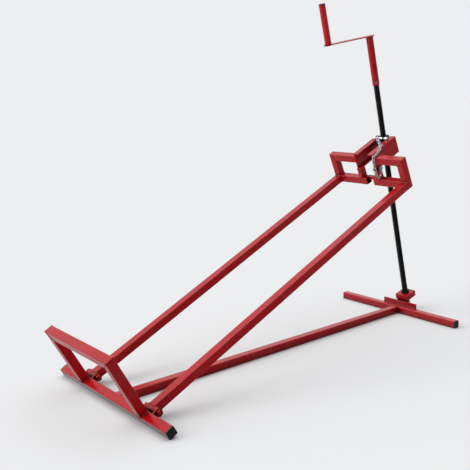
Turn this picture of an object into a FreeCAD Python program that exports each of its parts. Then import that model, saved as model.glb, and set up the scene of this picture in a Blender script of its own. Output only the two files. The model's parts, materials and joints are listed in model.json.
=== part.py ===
"""Screw-operated machine lift: a floor frame, a hinged lifting frame and a hand-cranked spindle.

Frame: +Z up, +Y from the toe end towards the crank end, X across. The origin is on the floor, in the
middle of the whole lift's length and width. Millimetres and degrees throughout. "left" is the -X side.
"""
import FreeCAD
import Part
import Sketcher
import math
import os

from FreeCAD import Placement, Rotation, Vector

doc = FreeCAD.newDocument("machine_lift")

# ---------------------------------------------------------------------------------------------
# Driving dimensions
# ---------------------------------------------------------------------------------------------
DIMENSIONS = [
    ("tube_size", 25, "side of the square tube used everywhere"),
    ("tube_wall", 2, "wall of the square tube"),
    ("tube_corner", 2.5, "outer corner radius of the square tube"),
    ("plug_flange", 3, "visible thickness of a tube end plug"),
    ("plug_depth", 18, "length of a plug inside its tube"),
    ("plug_wall", 1.6, "wall of a hollow plug"),
    ("rear_bar_length", 500, "rear cross bar over its plugs"),
    ("foot_bar_length", 520, "foot bar over its plugs"),
    ("base_span", 1201, "foot bar centre to rear bar centre"),
    ("toe_angle", 29.4, "lean of the toe frame from vertical"),
    ("toe_width", 310, "toe frame over its uprights"),
    ("toe_height", 196.5, "foot bar centre to the top of the toe frame"),
    ("hinge_offset", 27.5, "hinge axis behind the foot bar centre, square to the toe frame"),
    ("hinge_drop", 2.5, "hinge axis below the foot bar centre, along the toe frame"),
    ("ear_thickness", 5, "hinge ear plate"),
    ("ear_radius", 11.5, "round end of a hinge ear"),
    ("ear_root", 9.5, "half height of an ear where it meets the foot bar"),
    ("sleeve_diameter", 22, "hinge sleeve outside"),
    ("sleeve_length", 35, "hinge sleeve along its bolt"),
    ("hinge_bolt", 10, "hinge bolt shank"),
    ("bolt_across", 16, "hinge bolt head and nut across flats"),
    ("bolt_head", 6.4, "hinge bolt head height"),
    ("nut_height", 8, "hinge nut height"),
    ("washer_diameter", 20, "hinge washer"),
    ("washer_thickness", 2, "hinge washer"),
    ("bolt_tail", 3, "hinge bolt beyond its nut"),
    ("running_clearance", 0.05, "radial clearance of a turning fit"),
    ("side_clearance", 0.5, "end play beside a sleeve or knuckle"),
    ("arm_angle", 25.2, "slope of the lifting arms as stored here"),
    ("arm_reach", 1103, "hinge axis to the front face of the load hoops"),
    ("frame_width", 310, "arms and hoops over their outer faces"),
    ("hoop_height", 108.5, "load hoop from bottom to top"),
    ("lower_bar_gap", 30, "space between the two lower bars, bridged by the tie bar"),
    ("rail_width", 80, "over the two side rails"),
    ("rail_wall", 5, "side rail plate"),
    ("rail_flange", 20, "inward flange along the top of a side rail"),
    ("rail_lip", 14, "inward lip along the bottom of a side rail"),
    ("rail_bottom", 48, "lower edge of a rail above the arm centreline"),
    ("rail_top", 107, "upper face of a rail above the arm centreline"),
    ("rail_length", 135, "side rail"),
    ("arm_gap", 4, "arm end behind the hinge axis"),
    ("inner_post", 14, "thickness of the flat inner post of a hoop"),
    ("post_span", 86, "over the outer faces of the two inner posts"),
    ("tie_height", 10, "flat bar between the ends of the two lower bars"),
    ("tie_depth", 12, "that tie bar along the arms"),
    ("pin_diameter", 9, "zinc cross pin that carries the nut"),
    ("pin_reach", 1210, "hinge axis to the cross pin, along the arms"),
    ("pin_length", 60, "zinc cross pin"),
    ("saddle_radius", 6.5, "round top of a pin saddle"),
    ("saddle_width", 8, "pin saddle across the rail"),
    ("saddle_place", 24.5, "middle of a pin saddle from the lift's middle plane"),
    ("spindle_offset", 15, "spindle axis behind the pivot axis at either end"),
    ("swivel_height", 35, "lower pivot axis above the floor"),
    ("spindle_diameter", 20, "spindle over its thread"),
    ("journal_diameter", 12, "plain lower end of the spindle"),
    ("nut_width", 28, "nut block across"),
    ("nut_front", 12, "nut block ahead of the spindle axis"),
    ("nut_back", 15, "nut block behind the spindle axis"),
    ("nut_below", 38, "nut block below the pin axis"),
    ("nut_above", 4, "nut block above the pin axis"),
    ("nut_lobe", 6.5, "round lobe of the nut block about its pin"),
    ("nut_slot", 22, "slot between the two nut lobes"),
    ("nut_slot_floor", 11, "floor of that slot below the pin axis"),
    ("nut_slot_back", 2, "back of that slot ahead of the spindle axis"),
    ("block_width", 50, "swivel block across"),
    ("block_front", 26, "swivel block ahead of the spindle axis"),
    ("block_back", 26, "swivel block behind the spindle axis"),
    ("block_bottom", 9, "underside of the swivel block above its pivot axis"),
    ("block_height", 20, "swivel block thickness"),
    ("knuckle_radius", 8, "round knuckle under the swivel block"),
    ("knuckle_width", 30, "knuckle along its pin"),
    ("swivel_pin", 10, "lower pivot pin"),
    ("swivel_pin_length", 50, "lower pivot pin"),
    ("clip_diameter", 16, "retaining clip of the lower pivot pin"),
    ("lug_thickness", 6, "lug beside the knuckle"),
    ("lug_root_low", 19, "lug root below the lower pivot"),
    ("lug_root_high", 0, "lug root above the lower pivot"),
    ("bracket_length", 140, "swivel bracket plate along the rear bar"),
    ("bracket_thickness", 8, "swivel bracket plate"),
    ("bracket_top", 40, "top of the bracket plate above the floor"),
    ("bracket_lift", 1, "bracket plate clear of the floor"),
    ("collar_diameter", 29, "thrust collar on the spindle"),
    ("collar_height", 8, "thrust collar"),
    ("collar_gap", 0.3, "end play under the thrust collar"),
    ("counterbore_depth", 7, "recess under the swivel block"),
    ("counterbore", 20, "diameter of the recess under the swivel block"),
    ("ring_thickness", 2, "retaining ring"),
    ("ring_diameter", 18, "retaining ring"),
    ("thread_top", 838, "end of the spindle above its lower pivot"),
    ("sleeve_bottom", 813, "lower end of the crank sleeve above the lower pivot"),
    ("crank_height", 974, "upper end of the crank sleeve above the lower pivot"),
    ("crank_sleeve", 23.5, "crank sleeve outside diameter"),
    ("crank_radius", 137, "spindle axis to handle axis"),
    ("crank_turn", -38.5, "crank arm from the lift's middle plane, as stored here"),
    ("crank_plate", 3, "crank arm thickness"),
    ("crank_plate_width", 26, "crank arm width"),
    ("crank_plate_end", 15, "crank arm beyond either axis"),
    ("crank_bolt", 5, "bolt through the crank sleeve"),
    ("crank_bolt_head", 9, "head of that bolt"),
    ("grip_diameter", 21.5, "turning grip"),
    ("grip_length", 126, "turning grip"),
    ("grip_axle", 12, "axle inside the grip"),
    ("axle_head", 15, "riveted head of the grip axle"),
    ("axle_head_height", 2, "riveted head of the grip axle"),
    ("cap_height", 3, "cap on the end of the grip axle"),
    ("chain_wire", 2.4, "chain wire"),
    ("chain_width", 10, "chain link over its width"),
    ("chain_pitch", 14.4, "chain link inside length"),
    ("chain_links", 18, "links in the chain"),
    ("chain_clear", 10, "middle of the hanging chain outside the rail it is fixed to"),
    ("ring_radius", 8, "chain ring, to the middle of its wire"),
    ("ring_place", 8.4, "chain ring left of the lift's middle plane"),
    ("chain_screw", 4, "screw holding the end of the chain"),
]

sheet = doc.addObject("Spreadsheet::Sheet", "dims")
for row, (alias, value, note) in enumerate(DIMENSIONS, start=1):
    sheet.set("A%d" % row, str(value))
    sheet.setAlias("A%d" % row, alias)
    sheet.set("B%d" % row, note)
doc.recompute()


def dim(alias):
    """A driving dimension as a number."""
    return float(sheet.get(alias))


# ---------------------------------------------------------------------------------------------
# Layout worked out from the driving dimensions
# ---------------------------------------------------------------------------------------------
HALF = dim("tube_size") / 2
X_AXIS = Vector(1, 0, 0)
Y_AXIS = Vector(0, 1, 0)
Z_AXIS = Vector(0, 0, 1)


def along(angle):
    """Unit vector in the YZ plane, this many degrees above +Y."""
    return Vector(0, math.cos(math.radians(angle)), math.sin(math.radians(angle)))


def above(angle):
    """Unit vector square to along(angle), on its upper side."""
    return Vector(0, -math.sin(math.radians(angle)), math.cos(math.radians(angle)))


TOE_NORMAL = along(dim("toe_angle"))
TOE_UP = above(dim("toe_angle"))
ARM_ALONG = along(dim("arm_angle"))
ARM_UP = above(dim("arm_angle"))

# The rounded lower corner of the leaning foot bar touches the floor.
core = HALF - dim("tube_corner")
foot_height = core * (TOE_NORMAL.y + TOE_NORMAL.z) + dim("tube_corner")
hinge_from_foot = TOE_NORMAL * dim("hinge_offset") - TOE_UP * dim("hinge_drop")

# The lower pivot and the nut pin are equally far from the hinge, so the spindle always leans by half
# of the angle between them, and the three hinges keep constant ratios.
pin_height = dim("rail_top") + dim("pin_diameter") / 2
link_length = math.hypot(dim("pin_reach"), pin_height)
pin_bearing = dim("arm_angle") + math.degrees(math.atan2(pin_height, dim("pin_reach")))
swivel_rise = dim("swivel_height") - foot_height - hinge_from_foot.z
swivel_bearing = math.degrees(math.asin(swivel_rise / link_length))
lean = (pin_bearing + swivel_bearing) / 2
SPINDLE_UP = above(lean)
SPINDLE_BACK = along(lean)

# Length of the lift along Y, from the toe frame's upper front corner to the swivel block's heel.
foot_y_from_rear = -dim("base_span")
corner = dim("tube_corner")
front_corner = TOE_UP * (dim("toe_height") - corner) - TOE_NORMAL * core
front_y = foot_y_from_rear + front_corner.y - corner
swivel_y = foot_y_from_rear + hinge_from_foot.y + along(swivel_bearing).y * link_length
heel = SPINDLE_UP * dim("block_bottom") + SPINDLE_BACK * (dim("spindle_offset") + dim("block_back"))
rear_y = swivel_y + heel.y
middle_y = (front_y + rear_y) / 2

REAR = Vector(0, -middle_y, 0)
FOOT = REAR + Vector(0, foot_y_from_rear, foot_height)
HINGE = FOOT + hinge_from_foot
SWIVEL = HINGE + along(swivel_bearing) * link_length
PIN = HINGE + ARM_ALONG * dim("pin_reach") + ARM_UP * pin_height
AXIS = SWIVEL + SPINDLE_BACK * dim("spindle_offset")
CRANK_ROTATION = Rotation(SPINDLE_UP, dim("crank_turn"))
CRANK_OUT = CRANK_ROTATION.multVec(SPINDLE_BACK * -1)
CRANK_SIDE = CRANK_ROTATION.multVec(X_AXIS)


def placed(origin, x_axis, z_axis):
    """Placement whose local X and Z lie along the given world directions."""
    return Placement(origin, Rotation(x_axis, Vector(), z_axis, "ZXY"))


def arm_point(x, reach, height):
    """World point from the lifting frame's own coordinates, measured from the hinge axis."""
    return HINGE + X_AXIS * x + ARM_ALONG * reach + ARM_UP * height


def toe_point(x, height, depth):
    """World point from the toe frame's own coordinates, measured from the foot bar centre."""
    return FOOT + X_AXIS * x + TOE_UP * height + TOE_NORMAL * depth


# ---------------------------------------------------------------------------------------------
# Builders
# ---------------------------------------------------------------------------------------------
NODES = []


def new_body(label, placement):
    body = doc.addObject("PartDesign::Body", label)
    body.Label = label
    body.Placement = placement
    NODES.append(body)
    return body


def plane(body, role):
    for feature in body.Origin.OriginFeatures:
        if feature.Role == role:
            return feature
    raise RuntimeError("no plane " + role)


def new_sketch(body, name, role="XY_Plane", offset=None):
    """Sketch on one of the body's own origin planes, moved along its normal by an expression."""
    sketch = body.newObject("Sketcher::SketchObject", body.Label + "_" + name)
    sketch.AttachmentSupport = [(plane(body, role), "")]
    sketch.MapMode = "FlatFace"
    if offset:
        sketch.setExpression("AttachmentOffset.Base.z", offset)
    return sketch


def add_rectangle(sketch, width, height, left=None, bottom=None):
    """Rectangle with bound sizes: centred on the sketch origin, or from a bound lower left corner."""
    first = sketch.GeometryCount
    corners = [Vector(-10, -10, 0), Vector(10, -10, 0), Vector(10, 10, 0), Vector(-10, 10, 0)]
    for i in range(4):
        sketch.addGeometry(Part.LineSegment(corners[i], corners[(i + 1) % 4]), False)
    for i in range(4):
        sketch.addConstraint(Sketcher.Constraint("Coincident", first + i, 2, first + (i + 1) % 4, 1))
    for i in (0, 2):
        sketch.addConstraint(Sketcher.Constraint("Horizontal", first + i))
        sketch.addConstraint(Sketcher.Constraint("Vertical", first + i + 1))
    bind(sketch, Sketcher.Constraint("DistanceX", first, 1, first, 2, 20), width)
    bind(sketch, Sketcher.Constraint("DistanceY", first + 1, 1, first + 1, 2, 20), height)
    if left is None:
        sketch.addConstraint(Sketcher.Constraint("Symmetric", first, 1, first + 2, 1, -1, 1))
    else:
        bind(sketch, Sketcher.Constraint("DistanceX", -1, 1, first, 1, -10), left)
        bind(sketch, Sketcher.Constraint("DistanceY", -1, 1, first, 1, -10), bottom)


def add_circle(sketch, diameter, x="0", y="0"):
    index = sketch.addGeometry(Part.Circle(Vector(0, 0, 0), Vector(0, 0, 1), 5), False)
    bind(sketch, Sketcher.Constraint("Diameter", index, 10), diameter)
    bind(sketch, Sketcher.Constraint("DistanceX", -1, 1, index, 3, 1), x)
    bind(sketch, Sketcher.Constraint("DistanceY", -1, 1, index, 3, 1), y)


def add_polygon(sketch, points):
    """Closed outline through points whose two coordinates are both expressions."""
    first = sketch.GeometryCount
    count = len(points)
    rough = [Vector(math.cos(2 * math.pi * i / count), math.sin(2 * math.pi * i / count), 0)
             for i in range(count)]
    for i in range(count):
        sketch.addGeometry(Part.LineSegment(rough[i], rough[(i + 1) % count]), False)
    for i in range(count):
        sketch.addConstraint(Sketcher.Constraint("Coincident", first + i, 2, first + (i + 1) % count, 1))
    for i, (x, y) in enumerate(points):
        bind(sketch, Sketcher.Constraint("DistanceX", -1, 1, first + i, 1, rough[i].x or 0.1), x)
        bind(sketch, Sketcher.Constraint("DistanceY", -1, 1, first + i, 1, rough[i].y or 0.1), y)


def bind(sketch, constraint, expression):
    index = sketch.addConstraint(constraint)
    sketch.setExpression("Constraints[%d]" % index, expression)


def pad(body, sketch, length, midplane=False, reverse=False):
    feature = body.newObject("PartDesign::Pad", sketch.Label + "_pad")
    feature.Profile = sketch
    feature.setExpression("Length", length)
    feature.Midplane = midplane
    feature.Reversed = reverse
    doc.recompute()
    return feature


def pocket(body, sketch, length, midplane=False, reverse=False):
    """Pocket that must remove material."""
    before = body.Shape.Volume
    feature = body.newObject("PartDesign::Pocket", sketch.Label + "_pocket")
    feature.Profile = sketch
    feature.setExpression("Length", length)
    feature.Midplane = midplane
    feature.Reversed = reverse
    doc.recompute()
    if body.Shape.Volume > before - 0.01:
        raise RuntimeError(feature.Label + " cuts nothing")
    return feature


def round_edges(body, base, radius, wanted):
    """Fillet the edges of a feature that the test picks."""
    names = ["Edge%d" % (i + 1) for i, edge in enumerate(base.Shape.Edges) if wanted(edge)]
    feature = body.newObject("PartDesign::Fillet", body.Label + "_round")
    feature.Base = (base, names)
    feature.setExpression("Radius", radius)
    doc.recompute()
    return feature


def is_lengthwise(edge):
    """A straight edge along the body's own Z axis."""
    if not isinstance(edge.Curve, Part.Line):
        return False
    return abs(abs(edge.Curve.Direction.z) - 1) < 1e-6


THROUGH = "4 * dims.tube_size"


def square_tube(label, placement, length):
    """Hollow square tube along local Z, starting at local Z = 0."""
    body = new_body(label, placement)
    outline = new_sketch(body, "outline")
    add_rectangle(outline, "dims.tube_size", "dims.tube_size")
    solid = pad(body, outline, length)
    round_edges(body, solid, "dims.tube_corner", is_lengthwise)
    bore = new_sketch(body, "bore")
    inside = "dims.tube_size - 2 * dims.tube_wall"
    add_rectangle(bore, inside, inside)
    pocket(body, bore, length, reverse=True)
    return body


def mitre(body, name, end, outer_side, is_start=False):
    """Cut a tube end at 45 degrees; its long side is the one towards local X = outer_side."""
    sketch = new_sketch(body, name, "XZ_Plane")
    long_side, short_side = ("", "-") if outer_side > 0 else ("-", "")
    out, back = ("-", "+") if is_start else ("+", "-")
    over = "(dims.tube_size / 2 + 2)"
    add_polygon(sketch, [(long_side + over, "%s %s 2" % (end, out)),
                         (short_side + over, "%s %s dims.tube_size %s 2" % (end, back, back)),
                         (short_side + over, "%s %s 5" % (end, out)),
                         (long_side + over, "%s %s 5" % (end, out))])
    pocket(body, sketch, THROUGH, midplane=True)


def round_bar(label, placement, steps):
    """Stepped round bar along local Z from (diameter, bottom, top) expressions."""
    body = new_body(label, placement)
    for i, (diameter, bottom, top) in enumerate(steps):
        sketch = new_sketch(body, "step%d" % i, offset=bottom)
        add_circle(sketch, diameter)
        pad(body, sketch, "(%s) - (%s)" % (top, bottom))
    return body


def bore_through(body, diameter, name="bore", role="XY_Plane", x="0", y="0", offset=None, depth=None):
    sketch = new_sketch(body, name, role, offset)
    add_circle(sketch, diameter, x, y)
    if depth:
        return pocket(body, sketch, depth, reverse=True)
    return pocket(body, sketch, "20 * dims.tube_size", midplane=True)


def plate(label, placement, width, height, thickness):
    """Rectangular plate centred on local X and Y, from local Z = 0 upwards."""
    body = new_body(label, placement)
    outline = new_sketch(body, "outline")
    add_rectangle(outline, width, height)
    pad(body, outline, thickness)
    return body


def copies(label, source, placements):
    """Identical separate solids of one source body, kept together as one node."""
    links = []
    for i, placement in enumerate(placements):
        link = doc.addObject("App::Link", "%s_%d" % (label, i + 1))
        link.LinkedObject = source
        link.Placement = placement
        links.append(link)
    group = doc.addObject("Part::Compound", label)
    group.Label = label
    group.Links = links
    NODES.append(group)
    if source in NODES:
        NODES.remove(source)
    doc.recompute()
    return group


def derive(alias, value, note):
    """Store a worked-out length in the sheet and return the expression that reads it."""
    row = len(DIMENSIONS) + 3 + derive.count
    derive.count += 1
    sheet.set("A%d" % row, "%.6f" % value)
    sheet.setAlias("A%d" % row, alias)
    sheet.set("B%d" % row, note)
    doc.recompute()
    return "dims." + alias


derive.count = 0


def lug(label, placement, root, reach, radius, thickness, hole, low, high):
    """Plate in local XY: straight from x = root, round about the hole at x = reach."""
    body = new_body(label, placement)
    outline = new_sketch(body, "outline")
    add_polygon(outline, [(root, "-(%s)" % low), (reach, "-(%s)" % radius), (reach, radius), (root, high)])
    pad(body, outline, thickness, midplane=True)
    disc = new_sketch(body, "disc")
    add_circle(disc, "2 * (%s)" % radius, reach)
    pad(body, disc, thickness, midplane=True)
    bore_through(body, hole, x=reach)
    return body


def hex_piece(label, placement, across, height, bore=None):
    """Hexagonal head or nut along local Z."""
    body = new_body(label, placement)
    outline = new_sketch(body, "outline")
    corner = "(%s) / 2 / cos(30 deg)" % across
    points = [("%s * cos(%d deg)" % (corner, a), "%s * sin(%d deg)" % (corner, a))
              for a in range(30, 390, 60)]
    add_polygon(outline, points)
    pad(body, outline, height)
    if bore:
        bore_through(body, bore)
    return body


def hex_bolt(label, across, head, diameter, length):
    """Bolt with its shank along -Z from the underside of its head."""
    body = hex_piece(label, Placement(), across, head)
    shank = new_sketch(body, "shank")
    add_circle(shank, diameter)
    pad(body, shank, length, reverse=True)
    return body


# ---------------------------------------------------------------------------------------------
# Floor frame
# ---------------------------------------------------------------------------------------------
TUBE_IN = "dims.tube_size - 2 * dims.tube_wall"


def end_plug(label):
    """Push-in plug: a square flange and a hollow shank along local -Z."""
    body = new_body(label, Placement())
    flange = new_sketch(body, "flange")
    add_rectangle(flange, "dims.tube_size", "dims.tube_size")
    head = pad(body, flange, "dims.plug_flange")
    round_edges(body, head, "dims.tube_corner", is_lengthwise)
    shank = new_sketch(body, "shank")
    add_rectangle(shank, TUBE_IN, TUBE_IN)
    pad(body, shank, "dims.plug_depth", reverse=True)
    hollow = new_sketch(body, "hollow", offset="-dims.plug_depth")
    add_rectangle(hollow, TUBE_IN + " - 2 * dims.plug_wall", TUBE_IN + " - 2 * dims.plug_wall")
    pocket(body, hollow, "dims.plug_depth - dims.plug_wall", reverse=True)
    return body


plug = end_plug("end_plug")

rear_centre = REAR + Z_AXIS * HALF
rear_half = dim("rear_bar_length") / 2 - dim("plug_flange")
square_tube("rear_bar", placed(rear_centre - X_AXIS * rear_half, Y_AXIS, X_AXIS),
            "dims.rear_bar_length - 2 * dims.plug_flange")
copies("rear_bar_caps", plug, [
    placed(rear_centre + X_AXIS * side * rear_half, Y_AXIS, X_AXIS * side) for side in (-1, 1)])

foot_half = dim("foot_bar_length") / 2 - dim("plug_flange")
square_tube("foot_bar", placed(FOOT - X_AXIS * foot_half, TOE_NORMAL, X_AXIS),
            "dims.foot_bar_length - 2 * dims.plug_flange")
copies("foot_bar_caps", plug, [
    placed(FOOT + X_AXIS * side * foot_half, TOE_NORMAL, X_AXIS * side) for side in (-1, 1)])

# The base tube is cut back along the leaning face of the foot bar and square below its lower edge.
spine_start = Vector(0, FOOT.y, HALF)
spine = square_tube("base_tube", placed(spine_start, X_AXIS, Y_AXIS),
                    derive("spine_length", REAR.y - HALF - FOOT.y, "foot bar centre to rear bar front face"))
heel_edge = TOE_NORMAL * HALF - TOE_UP * HALF
cope = new_sketch(spine, "cope", "YZ_Plane")
edge_down = derive("cope_drop", HALF - foot_height - heel_edge.z, "tube centre down to the foot bar edge")
edge_back = derive("cope_back", heel_edge.y, "foot bar centre back to its rear edge")
rise = "40 * cos(dims.toe_angle * 1 deg)"
run = "40 * sin(dims.toe_angle * 1 deg)"
add_polygon(cope, [(edge_down, edge_back),
                   ("%s - %s" % (edge_down, rise), "%s - %s" % (edge_back, run)),
                   ("%s - %s" % (edge_down, rise), "-60"),
                   ("40", "-60"),
                   ("40", edge_back)])
pocket(spine, cope, THROUGH, midplane=True)

post_x = dim("toe_width") / 2 - HALF
for name, side in (("toe_upright_left", -1), ("toe_upright_right", 1)):
    post = square_tube(name, placed(toe_point(side * post_x, HALF, 0), X_AXIS, TOE_UP),
                       "dims.toe_height - dims.tube_size / 2")
    mitre(post, "mitre", "dims.toe_height - dims.tube_size / 2", side)
toe_bar = square_tube("toe_cross_bar",
                      placed(toe_point(-dim("toe_width") / 2, dim("toe_height") - HALF, 0), TOE_UP, X_AXIS),
                      "dims.toe_width")
mitre(toe_bar, "mitre_start", "0", 1, is_start=True)
mitre(toe_bar, "mitre_end", "dims.toe_width", 1)

# Hinges: two ears either side of each sleeve, with a bolt, a washer and a nut.
inner_ear = dim("frame_width") / 2 - dim("tube_size") - dim("side_clearance") - dim("ear_thickness") / 2
outer_ear = inner_ear + dim("sleeve_length") + 2 * dim("side_clearance") + dim("ear_thickness")
ear_base = FOOT - TOE_UP * dim("hinge_drop")
ear = lug("hinge_ear", Placement(), "dims.tube_size / 2", "dims.hinge_offset", "dims.ear_radius",
          "dims.ear_thickness", "dims.hinge_bolt + 2 * dims.running_clearance",
          "dims.ear_root", "dims.ear_root")
copies("hinge_ears", ear, [
    placed(ear_base + X_AXIS * x, TOE_NORMAL, X_AXIS)
    for x in (-outer_ear, -inner_ear, inner_ear, outer_ear)])

outside = outer_ear + dim("ear_thickness") / 2
inside = inner_ear - dim("ear_thickness") / 2
nut_face = inside - dim("washer_thickness")
shank_length = outside - nut_face + dim("nut_height") + dim("bolt_tail")
bolt = hex_bolt("hinge_bolt_one", "dims.bolt_across", "dims.bolt_head", "dims.hinge_bolt",
                derive("hinge_bolt_length", shank_length, "hinge bolt under its head"))
copies("hinge_bolts", bolt, [
    placed(HINGE + X_AXIS * side * outside, Y_AXIS, X_AXIS * side) for side in (-1, 1)])
washer = round_bar("hinge_washer_one", Placement(), [("dims.washer_diameter", "0", "dims.washer_thickness")])
bore_through(washer, "dims.hinge_bolt + 0.6")
copies("hinge_washers", washer, [
    placed(HINGE + X_AXIS * side * inside, Y_AXIS, X_AXIS * -side) for side in (-1, 1)])
lock_nut = hex_piece("hinge_nut_one", Placement(), "dims.bolt_across", "dims.nut_height", "dims.hinge_bolt")
copies("hinge_nuts", lock_nut, [
    placed(HINGE + X_AXIS * side * nut_face, Y_AXIS, X_AXIS * -side) for side in (-1, 1)])

# Swivel bracket behind the rear bar.
plate_height = dim("bracket_top") - dim("bracket_lift")
plate_back = REAR.y + HALF + dim("bracket_thickness")
plate("swivel_bracket",
      placed(Vector(0, REAR.y + HALF, dim("bracket_lift") + plate_height / 2), X_AXIS, Y_AXIS),
      "dims.bracket_length", "dims.bracket_top - dims.bracket_lift", "dims.bracket_thickness")
lug_x = dim("knuckle_width") / 2 + dim("side_clearance") + dim("lug_thickness") / 2
lug_reach = derive("lug_reach", SWIVEL.y - plate_back, "bracket back to the lower pivot")
cheek = lug("swivel_lug", Placement(), "0", lug_reach, "dims.knuckle_radius", "dims.lug_thickness",
            "dims.swivel_pin", "dims.lug_root_low", "dims.lug_root_high")
copies("swivel_lugs", cheek, [
    placed(Vector(side * lug_x, plate_back, SWIVEL.z), Y_AXIS, X_AXIS) for side in (-1, 1)])
half_pin = dim("swivel_pin_length") / 2
round_bar("swivel_pin", placed(SWIVEL - X_AXIS * half_pin, Y_AXIS, X_AXIS),
          [("dims.swivel_pin", "0", "dims.swivel_pin_length")])
clip = round_bar("swivel_clip_one", Placement(), [("dims.clip_diameter", "0", "1.2")])
bore_through(clip, "dims.swivel_pin")
lug_outside = lug_x + dim("lug_thickness") / 2
copies("swivel_pin_clips", clip, [
    placed(SWIVEL + X_AXIS * side * lug_outside, Y_AXIS, X_AXIS * side) for side in (-1, 1)])

# ---------------------------------------------------------------------------------------------
# Lifting frame
# ---------------------------------------------------------------------------------------------
frame_half = dim("frame_width") / 2
hoop_mid = dim("arm_reach") + HALF
hoop_top = dim("hoop_height") - HALF

for name, side in (("left", -1), ("right", 1)):
    arm_x = side * (frame_half - HALF)
    outward = X_AXIS * side
    inner_end = arm_point(side * (frame_half - dim("tube_size")), 0, 0)
    sleeve = round_bar("hinge_sleeve_" + name, placed(inner_end, ARM_ALONG, outward),
                       [("dims.sleeve_diameter", "0", "dims.sleeve_length")])
    bore_through(sleeve, "dims.hinge_bolt + 2 * dims.running_clearance")

    arm = square_tube("arm_" + name, placed(arm_point(arm_x, dim("arm_gap"), 0), X_AXIS, ARM_ALONG),
                      "dims.arm_reach - dims.arm_gap")
    fish_mouth = new_sketch(arm, "fish_mouth", "YZ_Plane")
    add_circle(fish_mouth, "dims.sleeve_diameter", "0", "-dims.arm_gap")
    pocket(arm, fish_mouth, THROUGH, midplane=True)

    post = square_tube("hoop_post_" + name, placed(arm_point(arm_x, hoop_mid, -HALF), outward, ARM_UP),
                       "dims.hoop_height")
    mitre(post, "mitre_start", "0", 1, is_start=True)
    mitre(post, "mitre_end", "dims.hoop_height", 1)

    lower_half = dim("lower_bar_gap") / 2
    lower = square_tube("hoop_lower_bar_" + name,
                        placed(arm_point(side * lower_half, hoop_mid, 0), ARM_UP * -1, outward),
                        "(dims.frame_width - dims.lower_bar_gap) / 2")
    mitre(lower, "mitre", "(dims.frame_width - dims.lower_bar_gap) / 2", 1)
    upper = square_tube("hoop_upper_bar_" + name,
                        placed(arm_point(side * dim("rail_width") / 2, hoop_mid, hoop_top - HALF),
                               ARM_UP, outward),
                        "(dims.frame_width - dims.rail_width) / 2")
    mitre(upper, "mitre", "(dims.frame_width - dims.rail_width) / 2", 1)

    inner_x = side * (dim("post_span") - dim("inner_post")) / 2
    plate("inner_post_" + name, placed(arm_point(inner_x, hoop_mid, HALF), X_AXIS, ARM_UP),
          "dims.inner_post", "dims.tube_size", "dims.rail_bottom - dims.tube_size / 2")

    rail = new_body("rail_" + name,
                    placed(arm_point(side * dim("rail_width") / 2, dim("arm_reach"), dim("rail_top")),
                           outward, ARM_ALONG))
    # Seen along local Z, local X is outwards; local Y is up on one side and down on the other.
    fall = "" if side > 0 else "-"
    drop = "%s(dims.rail_top - dims.rail_bottom)" % fall
    wall = "%sdims.rail_wall" % fall
    section = new_sketch(rail, "section")
    lip_top = "%s - (%s)" % (drop, wall)
    add_polygon(section, [("0", "0"), ("0", drop), ("-dims.rail_lip", drop), ("-dims.rail_lip", lip_top),
                          ("-dims.rail_wall", lip_top), ("-dims.rail_wall", wall),
                          ("-dims.rail_flange", wall), ("-dims.rail_flange", "0")])
    pad(rail, section, "dims.rail_length")

tie_mid = HALF - dim("tie_height") / 2
tie_front = dim("arm_reach") + dim("tube_size") - dim("tie_depth")
plate("lower_tie_bar", placed(arm_point(0, tie_front, tie_mid), X_AXIS, ARM_ALONG),
      "dims.lower_bar_gap", "dims.tie_height", "dims.tie_depth")

pin_half = dim("pin_length") / 2
round_bar("nut_pin", placed(PIN - X_AXIS * pin_half, Y_AXIS, X_AXIS),
          [("dims.pin_diameter", "0", "dims.pin_length")])
saddle = new_body("pin_saddle_one", Placement())
saddle_side = new_sketch(saddle, "side")
add_rectangle(saddle_side, "2 * dims.saddle_radius", "dims.pin_diameter / 2",
              "-dims.saddle_radius", "-dims.pin_diameter / 2")
pad(saddle, saddle_side, "dims.saddle_width", midplane=True)
saddle_top = new_sketch(saddle, "top")
add_circle(saddle_top, "2 * dims.saddle_radius")
pad(saddle, saddle_top, "dims.saddle_width", midplane=True)
saddle_foot = new_sketch(saddle, "foot")
add_rectangle(saddle_foot, "4 * dims.saddle_radius", "2 * dims.saddle_radius",
              "-2 * dims.saddle_radius", "-dims.pin_diameter / 2 - 2 * dims.saddle_radius")
pocket(saddle, saddle_foot, THROUGH, midplane=True)
bore_through(saddle, "dims.pin_diameter")
saddle_mouth = new_sketch(saddle, "mouth")
add_rectangle(saddle_mouth, "dims.pin_diameter", "dims.pin_diameter",
              "-dims.pin_diameter / 2", "-dims.pin_diameter")
pocket(saddle, saddle_mouth, THROUGH, midplane=True)
copies("pin_saddles", saddle, [
    placed(PIN + X_AXIS * side * dim("saddle_place"), ARM_ALONG, X_AXIS) for side in (-1, 1)])

# ---------------------------------------------------------------------------------------------
# Nut, swivel and spindle
# ---------------------------------------------------------------------------------------------
NUT_CENTRE = PIN + SPINDLE_BACK * dim("spindle_offset")
nut = new_body("nut_block", placed(NUT_CENTRE, X_AXIS, SPINDLE_UP))
nut_plan = new_sketch(nut, "plan", offset="-dims.nut_below")
add_rectangle(nut_plan, "dims.nut_width", "dims.nut_front + dims.nut_back",
              "-dims.nut_width / 2", "-dims.nut_front")
nut_body = pad(nut, nut_plan, "dims.nut_below + dims.nut_above")
round_edges(nut, nut_body, "2", is_lengthwise)
nut_ears = new_sketch(nut, "ears", "YZ_Plane")
add_rectangle(nut_ears, "dims.spindle_offset - dims.nut_front + 2", "2 * dims.nut_lobe",
              "-dims.spindle_offset", "-dims.nut_lobe")
pad(nut, nut_ears, "dims.nut_width", midplane=True)
nut_rounds = new_sketch(nut, "rounds", "YZ_Plane")
add_circle(nut_rounds, "2 * dims.nut_lobe", "-dims.spindle_offset")
pad(nut, nut_rounds, "dims.nut_width", midplane=True)
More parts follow.
